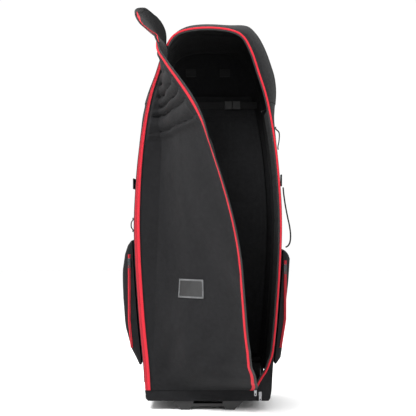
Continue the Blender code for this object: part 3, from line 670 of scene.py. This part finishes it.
def lid_point(x, z, out=0.0):
    """Where a point of the shut lid is when the lid stands open. out is how far in front of it."""
    turn = value_at(TURN_BY_HEIGHT, z)
    first = FIRST_TURN * ease(FIRST_LOW, FIRST_HIGH, z)
    from_crease = x - crease_x(z)
    rest = min(1.0, max(0.0, from_crease / max(0.02, zip_x(z) - crease_x(z))))
    standing = min(1.0, turn / FULLY_STANDING)
    curl = CURL_TURN * (1 - ease(0.0, CURL_WIDE, from_crease)) * standing
    angle = turn - curl - BOW_TURN * 4 * rest * (1.0 - rest) * standing
    rolled = max(0.0, ROLL_WIDE - (zip_x(z) - x)) * ease(0.86, 1.03, z) * (1 - ease(1.15, 1.20, z))
    point = Vector((crease_x(z) + from_crease, MID_Y - out + EDGE_ROLL * rolled, z))
    second = math.radians(max(0.0, angle - first))
    moved = Matrix.Rotation(second, 3, SECOND) @ (point - PIVOT)
    moved = Matrix.Rotation(math.radians(min(first, angle)), 3, CREASE) @ moved + PIVOT
    over = ease(1.165, 1.235, z)
    return moved.lerp(leaf_point(x, z, out), over) if over else moved


def lid_surface(x, z, out=0.0):
    """The open lid's outer face with its folds and padded bands, held flat beside the tape."""
    reach = zip_x(z) - crease_x(z)
    to_tape = reach - (x - crease_x(z)) - EDGE_BAND
    return lid_point(x, z, out + slack(x, z, reach) + padding(x, z) * ease(0.0, 0.040, to_tape))


def edge_line(inset, low, high, count):
    """The lid's free edge between two heights, moved inwards, as (x, z) from bottom to top."""
    heights = [low + (high - low) * i / count for i in range(count + 1)]
    return [(zip_x(z) - inset, z) for z in heights]


def arch_line(inset, low_z):
    """The lid's edge over its top: up the right from a height, across and down to the crease's top."""
    right = [p for p in OUTLINE if p[1] > low_z]
    full = right + [(-x, z) for x, z in right[-2::-1] if z > CREASE_TOP[1] + 0.002]
    return inset_line(full, inset)


def lid_left(z):
    return max(crease_x(z), -half_width(z) + 0.004)


def lid_right(z):
    trim = 0.004 + (0.030 * (z - 1.262) / 0.018 if z > 1.262 else 0.0)
    return max(zip_x(z) - trim, lid_left(z) + 0.010)


def lid_rows(heights, across):
    rows = []
    for z in heights:
        left, right = lid_left(z), lid_right(z)
        row = []
        for i in range(across + 1):
            share = i / across
            row.append(lid_surface(left + (right - left) * share, z))
        rows.append(row)
    return rows


def lid_panels():
    low_heights = [LID_BOTTOM + (LID_SEAM - LID_BOTTOM) * i / 70 for i in range(71)]
    high_heights = [LID_SEAM + (LID_TOP - LID_SEAM) * i / 190 for i in range(191)]
    lower = thicken(grid("lid_lower", lid_rows(low_heights, 84), CLOTH, True), PANEL_THICK, INSIDE)
    upper = thicken(grid("lid_upper", lid_rows(high_heights, 84), CLOTH, True), PANEL_THICK, INSIDE)
    return lower, upper


def strip_left(z):
    return -half_width(z) + LEFT_ZIP_WIDE + 0.0008


def strip_right(z):
    return max(crease_x(z), strip_left(z) + 0.002)


def lid_strip():
    """The strip of lid beside the shut zip, which stays in place."""
    rows = []
    for k in range(141):
        z = LID_BOTTOM + (STRIP_TOP - LID_BOTTOM) * k / 140
        left, right = strip_left(z), strip_right(z)
        row = []
        for i in range(17):
            x = left + (right - left) * i / 16
            row.append((x, MID_Y - padding(x, z) * ease(0.0, 0.01, x - left), z))
        rows.append(row)
    return thicken(grid("lid_strip", rows, CLOTH, True), PANEL_THICK, INSIDE)


def band(name, points, wide_from, wide_to, out, thick, look, across=5):
    """A tape sewn on the open lid between two insets from its edge; points gives the edge at an inset."""
    lines = [points(wide_from + (wide_to - wide_from) * k / across) for k in range(across + 1)]
    rows = []
    for line in lines:
        rows.append([lid_point(x, z, out) for x, z in line])
    return thicken(grid(name, rows, look), thick, offset=0.0)


def seam_height(seam, x):
    return seam + QUILT_SLOPE * (x + 0.19)


def seam_threads():
    """The sewn lines between the padded bands, across the lid."""
    parts = []
    for seam in QUILT_SEAMS:
        left, right = crease_x(seam) + 0.002, zip_x(seam_height(seam, zip_x(seam))) - EDGE_BAND - 0.001
        xs = [left + (right - left) * i / 60 for i in range(61)]
        line = [lid_surface(x, seam_height(seam, x), 0.0006) for x in xs]
        parts.append(tube("seam", line, 0.0020, INSIDE, 6))
    return joined("lid_seams", parts)


def turned_over(points):
    """The stretch of the edge that shows its inner side, where the top curls over."""
    return lambda inset: [p for p in points(inset) if p[1] > INNER_RED_LOW and p[0] > INNER_RED_END]


def lid_tapes():
    """Black zip half at the free edge, red tape inside it, and the coil along the edge."""
    spans = {
        "lower": lambda inset: edge_line(inset, LID_BOTTOM, LID_SEAM, 60),
        "upper": lambda inset: edge_line(inset, LID_SEAM, ARCH_LOW, 110)[:-1] + arch_line(inset, ARCH_LOW),
    }
    made = {}
    for word, points in spans.items():
        red = band(f"lid_red_{word}", points, RED_INSET, EDGE_BAND, 0.0022, 0.0016, RED)
        black = band(f"lid_zip_{word}", points, -0.0010, RED_INSET, 0.0014, 0.0014, TEETH)
        coil = tube(f"lid_coil_{word}", [lid_point(x, z, 0.0020) for x, z in points(0.0)], 0.0014, TEETH)
        made[word] = [red, black, coil]
    made["upper"].append(band("lid_inner_red", turned_over(points), 0.0015, 0.0110, -0.0042, 0.0014, RED))
    made["upper"].append(seam_threads())
    over = [p for p in arch_line(0.003, ARCH_LOW) if p[0] < 0.004]
    made["upper"].append(tube("lid_top_piping", [lid_point(x, z, -0.0014) for x, z in over], 0.0034, CLOTH))
    return made


# ---------------------------------------------------------------- zips of the body

def in_plane(line, y):
    return [(x, y, z) for x, z in line]


def body_zip():
    """The body's half of the zip: red tape outside, black tape inside, from the low corner to the crease."""
    right = [p for p in OUTLINE if p[1] > ZIP_CORNER[-1][1] + 0.01]
    left = [(-x, z) for x, z in OUTLINE[-2::-1] if z > CREASE_TOP[1] + 0.004]
    path = CORNER + right + left
    moved_out, moved_in = inset_line(path, 0.0018), inset_line(path, 0.0075)
    red = ribbon("body_red", in_plane(moved_out, FRONT - 0.0009), (0, -1, 0), 0.0062, 0.0020, RED, 0.3)
    black = ribbon("body_zip", in_plane(moved_in, FRONT - 0.0007), (0, -1, 0), 0.0058, 0.0013, TEETH)
    return joined("body_zip", [black, red])


BODY_TAPE_SHARE = 0.42  # the share of the shut zip's width that its body-side tape takes, the tape that is darkened with painted shade


def shut_zip_left(z):
    return -half_width(z) - 0.0005


def shut_zip_wide(z):
    return 0.0185 - 0.0085 * ease(0.55, 1.12, z)


def left_zip():
    """The stretch of zip that stays shut: the body-side red tape, darkened with painted shade, and the
    bright lid-side red tape, wider lower down.
    """
    low, high = LID_BOTTOM, CREASE_TOP[1] - 0.012
    heights = [low + (high - low) * i / 120 for i in range(121)]
    parts = []
    for name, start, share, out, look in (
        # the body-side tape and the coil take the red tape darkened with painted shade
        ("left_zip_body", 0.0, BODY_TAPE_SHARE, 0.0022, RED_SHADED),
        ("left_zip_lid", BODY_TAPE_SHARE, 1 - BODY_TAPE_SHARE, 0.0030, RED),
    ):
        front = []
        for z in heights:
            wide = shut_zip_wide(z)
            edge = shut_zip_left(z) + wide * start
            row = [edge + wide * share * t for t in (0.0, 0.08, 0.5, 0.92, 1.0)]
            front.append([(x, MID_Y - out * rise, z) for x, rise in zip(row, (0.2, 0.9, 1.15, 0.9, 0.2))])
        parts.append(thicken(grid(name, front, look, True), 0.0016))
    coil = [(shut_zip_left(z) + shut_zip_wide(z) * BODY_TAPE_SHARE, MID_Y - 0.0022, z) for z in heights]
    welt = [(shut_zip_left(z) + shut_zip_wide(z) + 0.0012, MID_Y - 0.0012, z) for z in heights]
    parts.append(tube("left_zip_coil", coil, 0.0008, RED_SHADED))
    parts.append(tube("left_zip_welt", welt, 0.0014, CLOTH))
    return joined("shut_zip", parts)


# ---------------------------------------------------------------- card pocket

FILM_THICK = 0.0005


def card_pocket():
    """A clear card pocket with a piped border, lying on the lid."""
    centre, half_wide, half_high = (-0.026, 0.412), 0.056, 0.031

    def rectangle(grow, round_by, out, steps=6, along=14):
        corners = []
        for sx, sz, start in ((1, 1, 0.0), (-1, 1, 0.25), (-1, -1, 0.5), (1, -1, 0.75)):
            for k in range(steps + 1):
                angle = math.tau * (start + 0.25 * k / steps)
                corners.append((centre[0] + sx * (half_wide + grow - round_by) + math.cos(angle) * round_by,
                                centre[1] + sz * (half_high + grow - round_by) + math.sin(angle) * round_by))
        ring = []
        for i, (a, b) in enumerate(zip(corners, corners[1:] + corners[:1])):
            cuts = along if i % (steps + 1) == steps else 1
            ring += [lid_surface(a[0] + (b[0] - a[0]) * k / cuts, a[1] + (b[1] - a[1]) * k / cuts, out)
                     for k in range(cuts)]
        return ring

    rings = [rectangle(grow, round_by, out) for grow, round_by, out in (
        (0.0, 0.004, 0.0004), (0.0, 0.004, 0.0026), (-0.0012, 0.0035, 0.0036),
        (-0.0048, 0.003, 0.0036), (-0.0060, 0.0025, 0.0024), (-0.0060, 0.0025, 0.0004),
    )]
    frame_piece = lofted("card_frame", rings, EDGING, closed=True)

    def panel(name, grow, out, look):
        rows = []
        for k in range(13):
            z = centre[1] + (half_high + grow) * (2 * k / 12 - 1)
            rows.append([
                lid_surface(centre[0] + (half_wide + grow) * (2 * i / 18 - 1), z,
                            out + 0.0008 * math.sin(math.pi * i / 18) * math.sin(math.pi * k / 12))
                for i in range(19)
            ])
        return thicken(grid(name, rows, look, True), FILM_THICK)

    card = panel("card", -0.0075, 0.0006, INSIDE)
    window = panel("card_window", -0.0062, 0.0014, FILM)
    return frame_piece, card, window


# ---------------------------------------------------------------- pockets

LEFT_POCKET = [
    (0.147, 0.2325), (0.170, 0.243), (0.207, 0.264), (0.270, 0.278), (0.370, 0.2885),
    (0.470, 0.2885), (0.520, 0.282), (0.550, 0.272), (0.566, 0.2605),
]
RIGHT_POCKET = [
    (0.150, 0.2320), (0.170, 0.2455), (0.207, 0.2525), (0.270, 0.2580), (0.370, 0.2670),
    (0.470, 0.2755), (0.505, 0.278), (0.522, 0.272), (0.532, 0.262),
]
POCKET_FRONT, POCKET_BACK = FRONT + 0.038, FRONT + 0.300


def pocket(word, side, bulges):
    """A filled side pocket: a soft shell whose corners round over, with folds and sags."""
    low, high = bulges[0][0], bulges[-1][0]
    count = 56
    rings = []
    for k in range(count + 1):
        z = low + (high - low) * k / count
        out = value_at(bulges, z)
        inner = half_width(z) + WALL_OUT + 0.0090
        deep = max(0.002, out - inner)
        ring = []
        steps = 44
        for i in range(steps + 1):
            t = i / steps
            lobe = math.sin(math.pi * t)
            rise = min(1.0, lobe / 0.42) ** 0.55 if lobe > 0 else 0.0
            y = POCKET_FRONT + (POCKET_BACK - POCKET_FRONT) * (0.5 - 0.5 * math.cos(math.pi * t))
            fold = 0.0030 * noise.noise(Vector((t * 4.0 + side, z * 9.0, 6.0))) * lobe
            sag = 0.0025 * math.sin(z * 46.0 + t * 5.0) * lobe * (1 - ease(low, high, z) * 0.6)
            ring.append((side * (inner + deep * rise + (fold + sag) * min(1.0, deep / 0.02)), y, z))
        ring.append((side * (inner - 0.0006), POCKET_BACK - 0.006, z))
        ring.append((side * (inner - 0.0006), POCKET_FRONT + 0.006, z))
        rings.append(ring)
    return lofted(f"{word}_pocket_bag", rings, CLOTH)


TAPER_BELOW = 0.30


def pocket_zip(word, side, straight_x, taper, high):
    """A pocket's zip, straight at the top and leaning inwards lower down."""
    low, y = 0.205, POCKET_FRONT - 0.0012
    heights = [low + (high - low) * i / 40 for i in range(41)]
    path = [(side * (straight_x - taper * max(0.0, TAPER_BELOW - z)), y, z) for z in heights]
    red = ribbon(f"{word}_pocket_red", path, (0, -1, 0), 0.0080, 0.0018, RED, 0.2)
    coil = tube(f"{word}_pocket_coil", [(x, y - 0.0020, z) for x, y, z in path], 0.0011, TEETH)
    return joined(f"{word}_pocket_closure", [red, coil])


# ---------------------------------------------------------------- straps

SIDE_STRAP = [(0.2590, 0.748), (0.2610, 0.725), (0.2660, 0.690), (0.2735, 0.650), (0.2810, 0.615),
              (0.2845, 0.585), (0.2830, 0.562), (0.2770, 0.548), (0.2680, 0.5415)]
STRAP_Y, TAB_Y, WALL_CLEAR = FRONT + 0.115, FRONT + 0.030, WALL_OUT + 0.0085
HANDLE_Z, HANDLE_HALF, HANDLE_DROP, HANDLE_Y = 1.150, 0.062, 0.075, BACK + 0.013


def flat_strap(name, path, across, wide, thick):
    """Webbing with selvedge edges, its width along across."""
    profile = [(-0.5, -0.35), (-0.47, -0.5), (0.47, -0.5), (0.5, -0.35), (0.5, 0.35), (0.47, 0.5),
               (0.36, 0.42), (0.0, 0.46), (-0.36, 0.42), (-0.47, 0.5), (-0.5, 0.35)]
    side = Vector(across).normalized()
    rings = []
    for i, here in enumerate(path):
        before, after = Vector(path[max(i - 1, 0)]), Vector(path[min(i + 1, len(path) - 1)])
        out = (after - before).cross(side).normalized()
        rings.append([Vector(here) + side * a * wide + out * b * thick for a, b in profile])
    return lofted(name, rings, WEB)


def straps():
    made = []
    path = [(x, STRAP_Y, z) for x, z in smooth(SIDE_STRAP, 6)]
    strap = flat_strap("side_grip", path, (0, 1, 0), 0.036, 0.0030)
    made.append((strap, "side_strap", ["side_strap"]))
    wall = half_width(0.77) + WALL_CLEAR
    base = flat_strap("side_grip_base", [(wall + 0.0025, STRAP_Y, z) for z in (0.752, 0.765, 0.778, 0.792)],
                      (0, 1, 0), 0.042, 0.0040)
    made.append((base, "case", ["side_strap_anchor"]))
    for word, side, points in (
        ("right", 1, [(0.874, 0.0079), (0.884, 0.0083), (0.905, 0.0150), (0.931, 0.0190),
                      (0.943, 0.0103), (0.951, 0.0105)]),
        ("left", -1, [(0.596, 0.0077), (0.604, 0.0077), (0.612, 0.0130), (0.628, 0.0130),
                      (0.636, 0.0077), (0.644, 0.0077)]),
    ):
        path = [(side * (half_width(z) + off), TAB_Y, z) for z, off in smooth(points, 5)]
        webbing = flat_strap(f"{word}_webbing_tab", path, (0, 1, 0), 0.025, 0.0026)
        made.append((webbing, "case", [f"{word}_tab"]))
    x, strap_front, strap_back = half_width(0.76) + WALL_CLEAR, FRONT + 0.020, BACK - 0.07
    path = [
        (-x - 0.0012 - 0.0012 * math.sin(k * 0.9), strap_front + (strap_back - strap_front) * k / 24, 0.759)
        for k in range(25)
    ]
    made.append((flat_strap("left_webbing", path, (0, 0, 1), 0.036, 0.0025), "case", ["left_side_strap"]))
    handle = [(-HANDLE_HALF, HANDLE_Y - 0.002, HANDLE_Z - 0.003), (-HANDLE_HALF, HANDLE_Y, HANDLE_Z - 0.030),
              (-HANDLE_HALF + 0.012, HANDLE_Y + 0.003, HANDLE_Z - HANDLE_DROP + 0.008),
              (-HANDLE_HALF + 0.030, HANDLE_Y + 0.004, HANDLE_Z - HANDLE_DROP)]
    handle += [(-x, y, z) for x, y, z in handle[::-1]]
    line = smooth(handle, 8)
    grip = ribbon("rear_grip", [(x, y + 0.0025, z) for x, y, z in line], (0, -1, 0), 0.025, 0.005, WEB)
    made.append((grip, "back_handle", ["back_handle"]))
    return made


def attach(piece, body, nodes):
    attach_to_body(piece, body)
    if nodes:
        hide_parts(*nodes)


# ---------------------------------------------------------------- building it

for wall, node in shell():
    attach(wall, "case", [node])
back = rear_wall()
attach(back, "case", ["back_panel"])
for pad, node in lining_pads():
    attach(pad, "case", [node])
for sill, left, low, high in front_sill():
    attach(sill, "case", ["front_sill"])
    wide = max(sill_right(z) - left(z) for z in (low, (low + high) / 2, high))
    flat_area(left, sill_right, low, high)

strip = lid_strip()
attach(strip, "case", ["lid_hinge_strip"])
flat_area(strip_left, strip_right, LID_BOTTOM, STRIP_TOP)
lower, upper = lid_panels()
for piece, nodes in ((lower, ["lid_bottom_panel"]), (upper, ["lid_main_panel", "lid_top_panel"])):
    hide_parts(*nodes)
tapes = lid_tapes()
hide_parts("lid_bottom_tape")
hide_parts("lid_main_tape", "lid_top_tape")
for word, main in (("lower", lower), ("upper", upper)):
    for piece in [main, *tapes[word]]:
        if word == "lower":
            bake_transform(piece)
        else:
            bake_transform(piece)
flat_area(lid_left, lid_right, LID_BOTTOM, LID_SEAM)
flat_area(lid_left, lid_right, LID_SEAM, LID_TOP)

attach(body_zip(), "case", ["body_zip_tape"])
attach(left_zip(), "case", ["left_zip"])

card_frame, card, window = card_pocket()
attach(card_frame, "lid", ["id_frame"])
attach(card, "lid", ["id_card"])
attach(window, "lid", ["id_window"])

for word, side, bulges, straight_x, taper, zip_top in (
    ("left", -1, LEFT_POCKET, 0.2665, 0.09, 0.520), ("right", 1, RIGHT_POCKET, 0.2610, 0.16, 0.500),
):
    bag = pocket(word, side, bulges)
    attach(bag, "case", [f"{word}_pocket"])
    closure = pocket_zip(word, side, straight_x, taper, zip_top)
    attach(closure, "case", [f"{word}_pocket_zip"])

for piece, body, nodes in straps():
    attach(piece, body, nodes)

# Hard pieces keep their own shape, with worked materials.
KEPT = {
    HARD: ["base_tray", "front_foot", "left_wheel_housing", "right_wheel_housing", "left_wheel_hub",
           "right_wheel_hub", "buckle_plug", "buckle_socket"],
    TYRE: ["left_wheel_tyre", "right_wheel_tyre"],
    STEEL: ["left_axle", "right_axle", "left_inner_bearing", "left_outer_bearing", "right_inner_bearing",
            "right_outer_bearing", "foot_screw_left", "foot_screw_right", "main_slider_upper",
            "main_slider_lower", "main_pull_upper", "main_pull_lower"],
    DARK_STEEL: ["left_pocket_slider", "right_pocket_slider", "left_pocket_pull", "right_pocket_pull"],
    WEB: ["inner_strap_left", "inner_strap_right", "back_handle_anchor_left", "back_handle_anchor_right"],
}
for look, names in KEPT.items():
    for name in names:
        NODES[name].data.materials.clear()
        NODES[name].data.materials.append(look)

# ---------------------------------------------------------------- floor and light

floor_mesh = bpy.data.meshes.new("floor")
floor_mesh.from_pydata([(-9, -9, 0), (9, -9, 0), (9, 9, 0), (-9, 9, 0)], [], [(0, 1, 2, 3)])
floor = bpy.data.objects.new("floor", floor_mesh)
bpy.context.scene.collection.objects.link(floor)
pale = bpy.data.materials.new("pale_floor")
pale.use_nodes = True
pale.node_tree.nodes["Principled BSDF"].inputs["Base Color"].default_value = (0.94, 0.94, 0.94, 1)
pale.node_tree.nodes["Principled BSDF"].inputs["Roughness"].default_value = 0.8
floor_mesh.materials.append(pale)

world = bpy.data.worlds.new("studio")
bpy.context.scene.world = world
world.use_nodes = True
world.node_tree.nodes["Background"].inputs["Color"].default_value = (1.0, 1.0, 1.0, 1)
world.node_tree.nodes["Background"].inputs["Strength"].default_value = 1.02


def soft_light(name, place, aim, size, power):
    lamp = bpy.data.lights.new(name, "AREA")
    lamp.shape, lamp.size, lamp.energy = "SQUARE", size, power
    obj = bpy.data.objects.new(name, lamp)
    bpy.context.scene.collection.objects.link(obj)
    obj.location = place
    obj.rotation_euler = (Vector(aim) - Vector(place)).to_track_quat("-Z", "Y").to_euler()


soft_light("key", (-1.6, -2.2, 3.4), (0, 0, 0.7), 1.2, 210)
soft_light("fill", (2.4, -2.6, 1.6), (0, 0, 0.6), 1.8, 50)
soft_light("top", (0, 0.4, 3.2), (0, 0, 0.8), 1.6, 60)
bpy.context.scene.view_settings.view_transform = "Standard"
